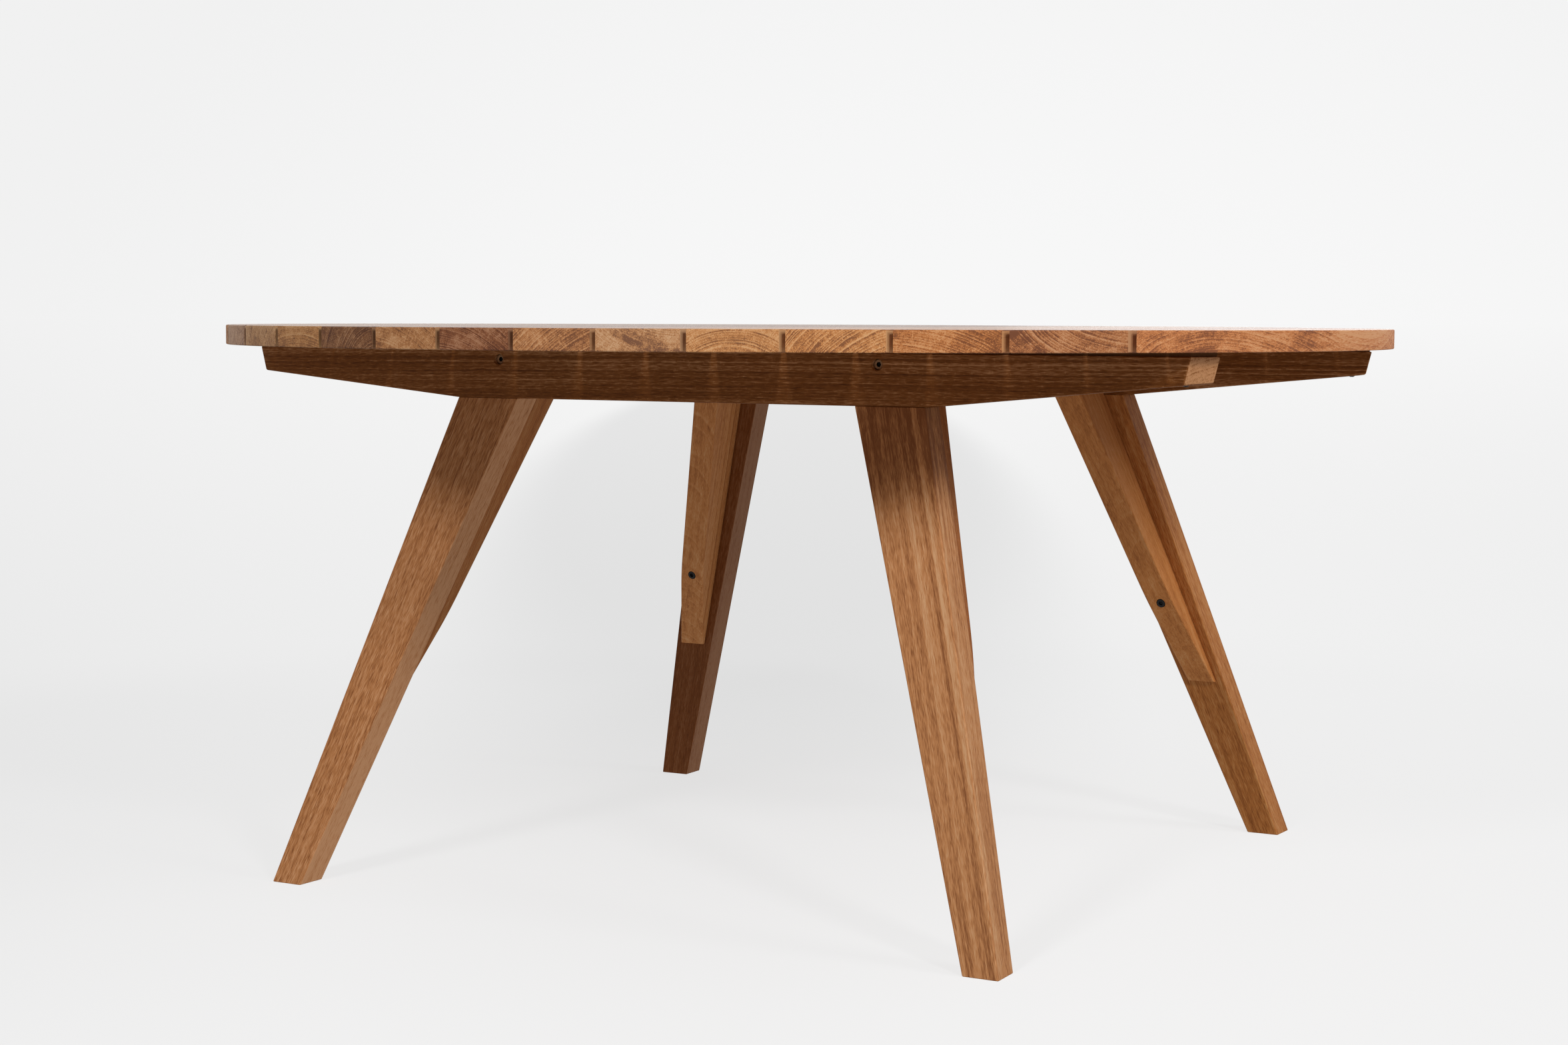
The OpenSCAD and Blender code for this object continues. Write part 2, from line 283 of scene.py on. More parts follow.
def finish(piece, material, slot, *nodes):
    """Smooths the roundings, keeps real corners crisp and hands the piece to the model."""
    settle(piece)
    piece.data.shade_smooth()
    piece.data.set_sharp_from_angle(angle=SMOOTH_ANGLE)
    weighted = piece.modifiers.new("flat faces", "WEIGHTED_NORMAL")
    weighted.keep_sharp = True
    weighted.weight = 90
    piece.data.materials.clear()
    piece.data.materials.append(material)
    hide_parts(*nodes)
    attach(piece, "root")


# The leg's lines


def board_out(z):
    """Level distance of a leg board's outer face from the table's middle, straight from bearer to foot."""
    return FOOT_OUT + (BEARER_OUT - FOOT_OUT) * z / BEARER_LOW


def board_in(z):
    return board_out(z) - FRAME_THICK


def leg_x(z):
    """Sideways place of a leg's middle line in the bearer's outer face."""
    foot, head = FOOT_X + FOOT_WIDTH / 2, LEG_TOP_X + LEG_TOP_WIDTH / 2
    return foot + (head - foot) * z / BEARER_LOW


def turned_x(x, y):
    """A sideways place carried back to the level distance y along the leg's slightly turned side faces."""
    return x + (y - BEARER_OUT) * math.tan(LEG_TURN)


def fin_edge(z):
    """Level distance of a fin's straight inner edge from the table's middle, above the waist."""
    waist = board_in(FIN_WAIST_Z) - FIN_WAIST_DEPTH
    return FIN_HEAD_IN + (waist - FIN_HEAD_IN) * (BEARER_LOW - z) / (BEARER_LOW - FIN_WAIST_Z)


def at_leg(points, side, end):
    """Points made for the back right leg, mirrored to any of the four legs."""
    return points * np.array([side, end, 1])


def leg_name(kind, side, end):
    return f"{kind}_{END_NAMES[end]}_{SIDE_NAMES[side]}"


# The wooden pieces


def slat_outline(x_low, x_high, step=0.008):
    """A slat's outline, seen from above: an arc of the rim at the front and one at the back, joined by
    straight sides. A place at the angle a on the rim is (R sin a, -R cos a)."""
    low, high = (math.asin(max(-1, min(1, x / TOP_RADIUS))) for x in (x_low, x_high))
    count = max(2, math.ceil(TOP_RADIUS * (high - low) / step)) + 1
    angles = np.linspace(low, high, count)
    front = TOP_RADIUS * np.column_stack([np.sin(angles), -np.cos(angles)])
    back = front[::-1] * [1, -1]
    if x_high >= TOP_RADIUS:
        back = back[1:]
    if x_low <= -TOP_RADIUS:
        back = back[:-1]
    return np.concatenate([front, back])


def make_slat(number):
    """A slat: its outline carried up through its thickness, with two screw holes."""
    name = SLATS[number]
    low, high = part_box(name)
    x_low = -TOP_RADIUS if number == 0 else low.x
    x_high = TOP_RADIUS if number == len(SLATS) - 1 else high.x
    outline = slat_outline(x_low, x_high)
    rings = np.stack([np.insert(outline, 2, z, axis=1) for z in (low.z, high.z)])
    piece = solid(name.replace("slat", "top_slat"), rings[None])
    straight = np.abs(outline[:, 0] - np.roll(outline[:, 0], -1)) < 1e-6
    on_side = straight | np.roll(straight, 1)
    ring_soft = np.stack([np.where(straight, SLAT_ARRIS, soft) for soft in (RIM_LOW_SOFT, RIM_TOP_SOFT)])
    soften(piece, ring_soft, np.where(on_side, SLAT_CORNER, 0.0))
    hole = mouth(SCREW_SHANK + HOLE_PLAY, SCREW_TIP - low.z + HOLE_PLAY)
    place = screw_places()[number]
    carve(piece, [bore((place, end * BEARER_MID, low.z), (0, 0, 1), hole) for end in SIDES])
    finish(piece, slat_wood(number), "top_wood", name)


def screw_places():
    """Sideways places of the slat screws: each slat's middle, and a set distance into the outer slats."""
    boxes = [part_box(name) for name in SLATS]
    middles = [(low.x + high.x) / 2 for low, high in boxes]
    return [boxes[0][1].x - OUTER_SCREW_IN] + middles[1:-1] + [boxes[-1][0].x + OUTER_SCREW_IN]


def bearer_outline(y):
    """A bearer's outline in the upright plane at the level distance y: flat over the legs, then rising in a
    straight line on each side to a slanted end, which stands parallel to the rim."""
    kink = LEG_TOP_X + LEG_TOP_WIDTH
    corner = math.sqrt(BEARER_END_RADIUS ** 2 - BEARER_OUT ** 2)
    rise = (BEARER_TOP - BEARER_END_DEPTH - BEARER_LOW) / (corner - kink)
    angle = math.asin(BEARER_MID / BEARER_END_RADIUS)
    top_x = corner + (BEARER_OUT - y) * math.tan(angle)
    slant = math.tan(BEARER_END_SLOPE) / math.cos(angle)
    low_x = (top_x - slant * (BEARER_TOP - BEARER_LOW + rise * kink)) / (1 - slant * rise)
    low_z = BEARER_LOW + rise * (low_x - kink)
    half = [(kink, BEARER_LOW), (low_x, low_z), (top_x, BEARER_TOP)]
    return np.array(half + [(-x, z) for x, z in reversed(half)])


def make_bearer(end):
    """A bearer: its outline carried through its thickness, with holes for bolts, dowels and screws."""
    name = "bearer_" + END_NAMES[end]
    rings = np.stack([np.insert(bearer_outline(y), 1, y, axis=1) for y in (BEARER_IN, BEARER_OUT)])
    piece = solid(name + "_wood", at_leg(rings, 1, end)[None])
    half_soft = [0.0, BEARER_CORNER_SOFT, BEARER_SOFT]
    soften(piece, BEARER_SOFT, np.array(half_soft + half_soft[::-1]))
    cutters = []
    head_hole = mouth(BOLT_HEAD + HEAD_PLAY, BEARER_BOLT_SINK + BOLT_HEAD_HIGH, BEARER_MOUTH_BEVEL)
    shank_hole = straight_hole(BOLT_SHANK, HOLE_LEAD, FRAME_THICK + CUT_OVER)
    for side in SIDES:
        at = at_leg(np.array([bearer_bolt_x(), BEARER_OUT, BEARER_BOLT_Z]), side, end)
        cutters += [bore(at, (0, -end, 0), hole) for hole in (head_hole, shank_hole)]
        cutters += dowel_cutters(side, end)
    for place in screw_places():
        low_z = underside(place)
        head_hole = mouth(SCREW_HEAD + HEAD_PLAY, SCREW_SEAT - low_z)
        shank_hole = straight_hole(SCREW_SHANK, HOLE_LEAD, SCREW_HOLE_REACH)
        at = (place, end * BEARER_MID, low_z)
        cutters += [bore(at, (0, 0, 1), hole) for hole in (head_hole, shank_hole)]
    carve(piece, cutters)
    finish(piece, bearer_wood(name), "bearer_wood", name)


def underside(x):
    """Height of a bearer's underside on its middle line."""
    outline = bearer_outline(BEARER_MID)
    return float(np.interp(abs(x), [outline[0, 0], outline[1, 0]], [outline[0, 1], outline[1, 1]]))


def bearer_bolt_x():
    return turned_x(leg_x(BEARER_BOLT_Z), BEARER_IN)


def dowel_cutters(side, end):
    """Cutters for the two dowels that join a leg board to its bearer."""
    offset = SCREW_HEAD + HEAD_PLAY + DOWEL_RADIUS + DOWEL_CLEAR
    reach = DOWEL_HALF + HOLE_PLAY
    cutters = []
    for way in SIDES:
        at = np.array([leg_x(BEARER_LOW) + way * DOWEL_ALONG, BEARER_MID + way * offset, BEARER_LOW])
        cutters.append(bore(at_leg(at, side, end), (0, 0, 1), straight_hole(DOWEL_RADIUS, -reach, reach)))
    return cutters


def leg_bolt_line(side, end):
    """Start and direction of a leg bolt: square to the leg board, from the fin's inner edge outwards."""
    y = fin_edge(LEG_BOLT_Z)
    at = np.array([turned_x(leg_x(LEG_BOLT_Z), y), y, LEG_BOLT_Z])
    along = np.array([0, math.cos(LEG_LEAN), math.sin(LEG_LEAN)])
    return at_leg(at, side, end), at_leg(along, side, end)


def leg_bolt_reach():
    """Distance from the fin's inner edge to the leg board along the bolt."""
    return (board_in(LEG_BOLT_Z) - fin_edge(LEG_BOLT_Z)) * math.cos(LEG_LEAN)


def make_leg_board(side, end):
    """A leaning board: its front outline, a taper from bearer to foot, carried back through its thickness."""
    name = leg_name("leg_board", side, end)
    outline = np.array([
        (FOOT_X, 0), (FOOT_X + FOOT_WIDTH, 0),
        (LEG_TOP_X + LEG_TOP_WIDTH, BEARER_LOW), (LEG_TOP_X, BEARER_LOW),
    ])
    x, z = outline.T
    rings = np.stack([np.column_stack([turned_x(x, y), y, z]) for y in (board_in(z), board_out(z))])
    piece = solid(name + "_wood", at_leg(rings, side, end)[None])
    corner_soft = np.array([FOOT_SOFT, FOOT_SOFT, LEG_HEAD_SOFT, LEG_HEAD_SOFT])
    soften(piece, [FOOT_SOFT, LEG_SOFT, LEG_HEAD_SOFT, LEG_SOFT], corner_soft)
    hole = straight_hole(INSERT_RADIUS, HOLE_LEAD, leg_bolt_reach() + INSERT_LONG + HOLE_PLAY)
    carve(piece, dowel_cutters(side, end) + [bore(*leg_bolt_line(side, end), hole)])
    finish(piece, leg_wood(name, side, end), "leg_wood", name)


def waist_curve(steps=8):
    """Soft bend at the fin's waist: a quadratic curve from one straight edge to the other."""
    head = np.array([FIN_HEAD_IN, BEARER_LOW])
    waist = np.array([fin_edge(FIN_WAIST_Z), FIN_WAIST_Z])
    tip = np.array([board_in(FIN_TIP_Z) - FIN_TIP_DEPTH, FIN_TIP_Z])
    start, stop = (waist + FIN_WAIST_EASE * way / np.linalg.norm(way) for way in (head - waist, tip - waist))
    share = np.linspace(0, 1, steps)[:, None]
    return (1 - share) ** 2 * start + 2 * share * (1 - share) * waist + share ** 2 * stop


def make_fin(side, end):
    """A fin: its side outline, bent at the waist, carried sideways through its thickness."""
    name = leg_name("leg_fin", side, end)
    tip = (board_in(FIN_TIP_Z) - FIN_TIP_DEPTH, FIN_TIP_Z)
    outline = np.concatenate([
        [(FIN_HEAD_IN, BEARER_TOP), (FIN_HEAD_IN, BEARER_LOW)], waist_curve(), [tip],
        [(board_in(FIN_TIP_Z), FIN_TIP_Z), (BEARER_IN, BEARER_LOW), (BEARER_IN, BEARER_TOP)],
    ])
    y, z = outline.T
    rings = np.stack([
        np.column_stack([turned_x(leg_x(z) + way * FIN_THICK / 2, y), y, z]) for way in SIDES
    ])
    piece = solid(name + "_wood", at_leg(rings, side, end)[None])
    places = len(outline)
    edge_soft = np.full(places, FIN_SOFT)
    edge_soft[-5:] = [FIN_TIP_SOFT, FIN_TIP_SOFT, FIN_HEAD_SOFT, FIN_HEAD_SOFT, FIN_HEAD_SOFT]
    corner_soft = np.zeros(places)
    corner_soft[[-4, -3]] = [FIN_TIP_CORNER_SOFT, FIN_HEAD_SOFT]
    soften(piece, edge_soft, corner_soft)
    at, along = leg_bolt_line(side, end)
    insert_at = at_leg(np.array([bearer_bolt_x(), BEARER_IN, BEARER_BOLT_Z]), side, end)
    carve(piece, [
        bore(at, along, mouth(BOLT_HEAD + HEAD_PLAY, LEG_BOLT_SINK + BOLT_HEAD_HIGH)),
        bore(at, along, straight_hole(BOLT_SHANK, HOLE_LEAD, leg_bolt_reach() + BOLT_HOLE_OVER)),
        bore(insert_at, (0, -end, 0), straight_hole(INSERT_RADIUS, -CUT_OVER, INSERT_LONG + HOLE_PLAY)),
        mortise(side, end),
    ])
    finish(piece, leg_wood(name, side, end), "leg_wood", name)


def rail_x():
    """Sideways place of a cross rail: the fin's middle at the rail's middle height."""
    return turned_x(leg_x(RAIL_MIDDLE), FIN_HEAD_IN)


def block_rings(width, height, y):
    """Rectangle about a cross rail's middle line at each level distance y, as the rings of a bar along Y."""
    corners = np.array([(-1, -1), (1, -1), (1, 1), (-1, 1)]) / 2 * [width, height] + [rail_x(), RAIL_MIDDLE]
    return np.stack([np.insert(corners, 1, at, axis=1) for at in y])


def mortise(side, end):
    """The cutter for a rail's stub tenon, entered from the fin's inner edge."""
    reach = (FIN_HEAD_IN - CUT_OVER, FIN_HEAD_IN + TENON_LONG + HOLE_PLAY)
    play = 2 * HOLE_PLAY
    return at_leg(block_rings(TENON_THICK + play, TENON_DEEP + play, reach), side, end)


def make_rail(side):
    """A cross rail: a rectangle carried between the fins, stepped down to a stub tenon at each end."""
    name = "cross_rail_" + SIDE_NAMES[side]
    half = FIN_HEAD_IN
    rings = np.concatenate([
        block_rings(TENON_THICK, TENON_DEEP, (-half - TENON_LONG, -half)),
        block_rings(RAIL_THICK, RAIL_TOP - RAIL_LOW, (-half, half)),
        block_rings(TENON_THICK, TENON_DEEP, (half, half + TENON_LONG)),
    ])
    piece = solid(name + "_wood", at_leg(rings, side, 1)[None])
    soften_long_edges(piece)
    finish(piece, rail_wood(name), "bearer_wood", name)


def soften_long_edges(piece):
    """Rounds only a cross rail's long edges, which leaves its tenons sharp."""
    places = np.array([vertex.co for vertex in piece.data.vertices])
    run = np.diff(places[edge_ends(piece.data)], axis=1)[:, 0]
    round_edges(piece, np.linalg.norm(run, axis=1) > RAIL_LONG_EDGE, RAIL_SOFT)


# The bolts and screws


def turned_rings(stations, places=48):
    """Rings round the Z axis, each with a radius, a height and a shape if it is not round. A hexagon has the
    radius (r cos 30) / cos(a - 30) within each sixth, and a star the radius r (1 + d cos 6a)."""
    around = np.linspace(0, 2 * np.pi, places, endpoint=False)
    hexagon = math.cos(math.pi / 6) / np.cos(np.mod(around, math.pi / 3) - math.pi / 6)
    shapes = {"hexagon": hexagon, "star": 1 + STAR_LOBES * np.cos(6 * around)}
    rings = []
    for radius, height, *shape in stations:
        spread = radius * (shapes[shape[0]] if shape else np.ones(places))
        x, y = spread * np.cos(around), spread * np.sin(around)
        rings.append(np.column_stack([x, y, np.full(places, height)]))
    return np.array(rings)


def bolt_profile(shank):
    """A socket-head bolt, from the middle of its socket's floor out over the head and down the shank."""
    corner = BOLT_SOCKET / math.cos(math.pi / 6)
    head, high = BOLT_HEAD, BOLT_HEAD_HIGH
    return [
        (corner * 0.2, BOLT_SOCKET_DEEP + DRILL_POINT),
        (corner, BOLT_SOCKET_DEEP, "hexagon"),
        (corner, SOCKET_CHAMFER, "hexagon"),
        (corner + SOCKET_CHAMFER, 0),
        (head - BOLT_HEAD_ROUND, 0),
        (head - FINE_EDGE, FINE_EDGE),
        (head, BOLT_HEAD_ROUND),
        (head, high - FINE_EDGE),
        (head - FINE_EDGE, high),
        (BOLT_SHANK + FINE_EDGE, high),
        (BOLT_SHANK, high + SOCKET_CHAMFER),
        (BOLT_SHANK, high + shank - BOLT_TIP_CHAMFER),
        (BOLT_SHANK - BOLT_TIP_CHAMFER, high + shank),
    ]


def placed(rings, at, along):
    """Rings made along Z, moved to a point and turned to a direction."""
    turn = np.array(Vector(along).to_track_quat("Z", "Y").to_matrix())
    return rings @ turn.T + np.array(at)


def make_leg_bolts():
    """One bolt to a leg, from the fin's inner edge into the leg board's insert."""
    shank = leg_bolt_reach() + INSERT_LONG - BOLT_TIP_SHORT - LEG_BOLT_SINK - BOLT_HEAD_HIGH
    rings = turned_rings(bolt_profile(shank))
    lines = [leg_bolt_line(side, end) for side in SIDES for end in SIDES]
    copies = [placed(rings, at + along * LEG_BOLT_SINK, along) for at, along in lines]
    piece = solid("leg_bolts_black", np.array(copies))
    finish(piece, blackened_steel(), "black_steel", "leg_bolts")


def make_bearer_bolts():
    """One bolt over each leg, from the bearer's outer face into the fin's insert."""
    shank = FRAME_THICK - BEARER_BOLT_SINK - BOLT_HEAD_HIGH + INSERT_LONG - BOLT_TIP_SHORT
    rings = turned_rings(bolt_profile(shank))
    start = np.array([bearer_bolt_x(), BEARER_OUT - BEARER_BOLT_SINK, BEARER_BOLT_Z])
    copies = [placed(rings, at_leg(start, side, end), (0, -end, 0)) for side in SIDES for end in SIDES]
    piece = solid("bearer_bolts_bronze", np.array(copies))
    finish(piece, bronzed_steel(), "bronze_steel", "bearer_bolts")


def make_slat_screws(end):
    """Pan-head screws: a star recess, a domed head and a plain shank, one to a slat."""
    name = "slat_screws_" + END_NAMES[end]
    low = SCREW_SEAT - SCREW_HEAD_HIGH
    profile = [
        (SCREW_STAR * 0.3, low + SCREW_STAR_DEEP + FINE_EDGE),
        (SCREW_STAR, low + SCREW_STAR_DEEP, "star"),
        (SCREW_STAR * 1.06, low + SCREW_EDGE / 2, "star"),
        (SCREW_STAR * 1.35, low),
        *((SCREW_HEAD * share, low + height) for share, height in SCREW_DOME),
        (SCREW_HEAD, SCREW_SEAT - SCREW_EDGE),
        (SCREW_HEAD - SCREW_EDGE, SCREW_SEAT),
        (SCREW_SHANK, SCREW_SEAT),
        (SCREW_SHANK, SCREW_TIP - SCREW_POINT),
        (SCREW_SHANK * 0.3, SCREW_TIP),
    ]
    rings = turned_rings(profile, 36)
    copies = np.array([rings + np.array([x, end * BEARER_MID, 0]) for x in screw_places()])
    piece = solid(name.replace("slat_", "pan_"), copies)
    finish(piece, blackened_steel(), "black_steel", name)


# The finishes


def link(output, socket):
    output.id_data.links.new(output, socket)


def node(tree, kind, sockets=(), **settings):
    """Adds a shader node. Settings are its properties, and sockets maps its inputs to values or outputs."""
    made = tree.nodes.new("ShaderNode" + kind)
    for key, value in settings.items():
        setattr(made, key, value)
    for key, value in dict(sockets).items():
        if isinstance(value, bpy.types.NodeSocket):
            link(value, made.inputs[key])
        else:
            made.inputs[key].default_value = value
    return made


SIGNS = {"+": "ADD", "-": "SUBTRACT", "*": "MULTIPLY", "/": "DIVIDE", "*+": "MULTIPLY_ADD"}


def calc(operation, *values):
    """Output of a math node on up to three values, in the tree of the first output among them."""
    tree = next(value.id_data for value in values if isinstance(value, bpy.types.NodeSocket))
    operation = SIGNS.get(operation, operation)
    return node(tree, "Math", enumerate(values), operation=operation).outputs[0]


def vector_calc(operation, *values):
    """Output of a vector math node: a number for a length, distance or dot product, and else a vector."""
    operation = SIGNS.get(operation, operation)
    made = node(values[0].id_data, "VectorMath", enumerate(values), operation=operation)
    return made.outputs["Value" if operation in ("LENGTH", "DISTANCE", "DOT_PRODUCT") else "Vector"]


def split(vector):
    return node(vector.id_data, "SeparateXYZ", {0: vector}).outputs


def noise(vector, seed, detail, roughness):
    """Outputs of fractal noise in four dimensions, of which the last is the seed."""
    sockets = {"Vector": vector, "W": seed, "Scale": 1.0, "Detail": detail, "Roughness": roughness}
    return node(vector.id_data, "TexNoise", sockets, noise_dimensions="4D").outputs


def ramp(value, low, high, out_low=0.0, out_high=1.0, kind="SMOOTHSTEP"):
    """A value taken from one range to another, held at the ends."""
    sockets = {"Value": value, 1: low, 2: high, 3: out_low, 4: out_high}
    return node(value.id_data, "MapRange", sockets, interpolation_type=kind).outputs[0]


def pulse(value, start, full, still_full, stop):
    """Rises from zero to one between two places of a value, and falls again between two further ones."""
    return calc("*", ramp(value, start, full), ramp(value, stop, still_full))


def blend(share, first, second):
    return node(share.id_data, "Mix", {0: share, 6: first, 7: second}, data_type="RGBA").outputs[2]


# The wood's inputs that are numbers, with their values unless a piece has its own
WOOD_VALUES = {
    "Seed": 0.0, "Ring Width": 0.0035, "Rings": 0.5, "Stripes": 0.3, "Fibres": 0.5, "Flecks": 0.5,
    "Broad": 0.5, "Tone": 0.0, "Wander": 0.008, "Band Place": 0.0, "Band Width": 0.01, "Band Depth": 0.0,
    "Rough": 0.36,
}

# The wood's noises: how many features to a metre across and along the fibres, and how much detail
WOOD_NOISES = {
    "bend": (9, 1.1, 2), "small bend": (75, 16, 2), "ring strength": (45, 3, 2), "band strength": (50, 9, 2),
    "broad": (24, 1.9, 2), "stripe": (120, 0.9, 2), "streak": (240, 2.4, 3), "fibre": (900, 85, 1),
    "pore": (1250, 60, 0), "fleck": (1000, 75, 0),
}
WOOD_NOISE_ROUGHNESS = 0.55
SMALL_BEND_SHARE = 0.27
SPOT_EDGE = (0.6, 0.72)
FLECK_SHIFT = (3.1, 1.7, 0.9)

# A ring's pale start and dark end: the places in the ring where each begins, is full, still full and over
RING_START = (0.0, 0.06, 0.1, 0.24)
RING_END = (0.3, 0.93, 0.95, 1.0)
RING_CONTRAST = 0.6
RING_UNEVEN = 3.0
RING_UNEVEN_NOISE = 90.0

# Rays: how many features to a radian round the heart, to a metre outward and to a metre along
RAY_NOISE = (110.0, 75.0, 220.0)
RAY_EDGE = (0.56, 0.7)

# Oiled wood: its gloss, the roughness of faces that do not look up, and how pale shades and faces are made
WOOD_GLOSS = 0.1
SIDES_ROUGH = 0.55
PALE_POWER = 0.7
PALE_EASE = 0.025


def timber_group():
    tree = bpy.data.node_groups.new("timber", "ShaderNodeTree")
    for side, kind, labels in (
        ("INPUT", "Vector", ["Vector"]), ("INPUT", "Float", WOOD_VALUES),
        ("INPUT", "Color", ["Pale", "Middle", "Dark"]),
        ("OUTPUT", "Color", ["Color"]), ("OUTPUT", "Float", ["Roughness", "Height"]),
    ):
        for label in labels:
            socket = tree.interface.new_socket(label, in_out=side, socket_type="NodeSocket" + kind)
            if label in WOOD_VALUES:
                socket.default_value = WOOD_VALUES[label]
    return tree, tree.nodes.new("NodeGroupInput").outputs, tree.nodes.new("NodeGroupOutput").inputs


def drawn(given, vector, kind):
    """Outputs of one of the wood's noises, drawn out along the fibres."""
    across, along, detail = WOOD_NOISES[kind]
    stretched = vector_calc("*", vector, (across, across, along))
    return noise(stretched, given["Seed"], detail, WOOD_NOISE_ROUGHNESS)


def bent_place(given):
    """The place in the wood, pushed about by two noises, so that the figure runs unevenly."""
    bent = given["Vector"]
    for kind, share in (("bend", 1.0), ("small bend", SMALL_BEND_SHARE)):
        push = vector_calc("-", drawn(given, given["Vector"], kind)["Color"], (0.5, 0.5, 0.5))
        sockets = {0: push, "Scale": calc("*", given["Wander"], share)}
        shift = node(push.id_data, "VectorMath", sockets, operation="SCALE").outputs[0]
        bent = vector_calc("+", bent, shift)
    return bent


def ring_figure(given, distance):
    """The rings' dark ends, and their whole figure with the pale starts. Rings differ in width and strength,
    and are weaker in patches."""
    tree = distance.id_data
    phase = calc("*+", distance, RING_UNEVEN_NOISE, given["Seed"])
    sockets = {"W": phase, "Scale": 1.0, "Detail": 1.0}
    uneven = node(tree, "TexNoise", sockets, noise_dimensions="1D").outputs["Fac"]
    count = calc("*+", uneven, RING_UNEVEN, calc("/", distance, given["Ring Width"]))
    ring_seed = calc("+", calc("FLOOR", count), given["Seed"])
    draw = node(tree, "TexWhiteNoise", {"W": ring_seed}, noise_dimensions="1D").outputs["Value"]
    own = ramp(draw, 0.0, 1.0, 0.25, 1.0, "LINEAR")
    patch = ramp(drawn(given, given["Vector"], "ring strength")["Fac"], 0.36, 0.6, 0.5, 1.15)
    strength = calc("*", own, patch)
    part = calc("FRACT", count)
    late, early = (calc("*", pulse(part, *line), strength) for line in (RING_END, RING_START))
    return late, calc("*", calc("-", late, early), RING_CONTRAST)


def band_figure(given, distance):
    """A wide shell about the heart, broken in places."""
    offset = calc("ABSOLUTE", calc("-", distance, given["Band Place"]))
    shell = ramp(calc("/", offset, given["Band Width"]), 1.0, 0.2)
    patch = ramp(drawn(given, given["Vector"], "band strength")["Fac"], 0.38, 0.58)
    return calc("*", shell, patch)


def ray_figure(given, bent, distance):
    """Short flakes, drawn out from the heart."""
    around, outward, along = RAY_NOISE
    parts = split(bent)
    place = node(bent.id_data, "CombineXYZ", {
        "X": calc("*", calc("ARCTAN2", parts["Y"], parts["X"]), around),
        "Y": calc("*", distance, outward), "Z": calc("*", parts["Z"], along),
    }).outputs[0]
    return ramp(noise(place, given["Seed"], 1.0, 0.6)["Fac"], *RAY_EDGE)


def make_timber():
    """Solid wood about a tree's heart, which lies along Z. Rings are shells about the heart, bent by slow
    noise, and a band is a wider shell, dark or pale. The rest is noise drawn out along Z. They all add up
    to a tone: pale at 0, middle at 0.5 and dark at 1."""
    tree, given, made = timber_group()
    bent = bent_place(given)
    distance = vector_calc("LENGTH", vector_calc("*", bent, (1, 1, 0)))
    late, rings = ring_figure(given, distance)
    band = band_figure(given, distance)
    ray = ray_figure(given, bent, distance)
    broad, stripe, streak, fibre = (
        calc("-", drawn(given, bent, kind)["Fac"], 0.5) for kind in ("broad", "stripe", "streak", "fibre")
    )
    shifted = vector_calc("+", bent, FLECK_SHIFT)
    pore, fleck = (
        ramp(drawn(given, at, kind)["Fac"], *SPOT_EDGE) for at, kind in ((bent, "pore"), (shifted, "fleck"))
    )
    grain = calc("*+", streak, 1.7, calc("*", fibre, 2.4))
    grain = calc("*+", pore, 0.5, grain)
    tone = calc("+", 0.5, given["Tone"])
    for figure, label, share in (
        (rings, "Rings", 1.0), (ray, "Rings", -0.3), (band, "Band Depth", 1.0), (broad, "Broad", 2.4),
        (stripe, "Stripes", 3.0), (grain, "Fibres", 1.0), (fleck, "Flecks", -0.5),
    ):
        tone = calc("*+", figure, calc("*", given[label], share), tone)
    pale_half = blend(ramp(tone, 0.0, 0.5, kind="LINEAR"), given["Pale"], given["Middle"])
    shown = blend(ramp(tone, 0.5, 1.0, kind="LINEAR"), pale_half, given["Dark"])
    rough = calc("*+", fibre, 0.2, given["Rough"])
    height = calc("*+", pore, -1.0, calc("*", fibre, 0.6))
    link(shown, made["Color"])
    link(calc("*+", pore, 0.12, rough), made["Roughness"])
    link(calc("*+", late, 0.3, height), made["Height"])


def new_material(name):
    """A material, its node tree and its shader's inputs."""
    material = bpy.data.materials.new(name)
    material.use_nodes = True
    return material, material.node_tree, material.node_tree.nodes["Principled BSDF"].inputs


def coordinates(tree):
    return node(tree, "TexCoord").outputs


def add_bump(shader, height, strength, depth):
    bump = node(height.id_data, "Bump", {"Height": height, "Strength": strength, "Distance": depth})
    link(bump.outputs[0], shader["Normal"])


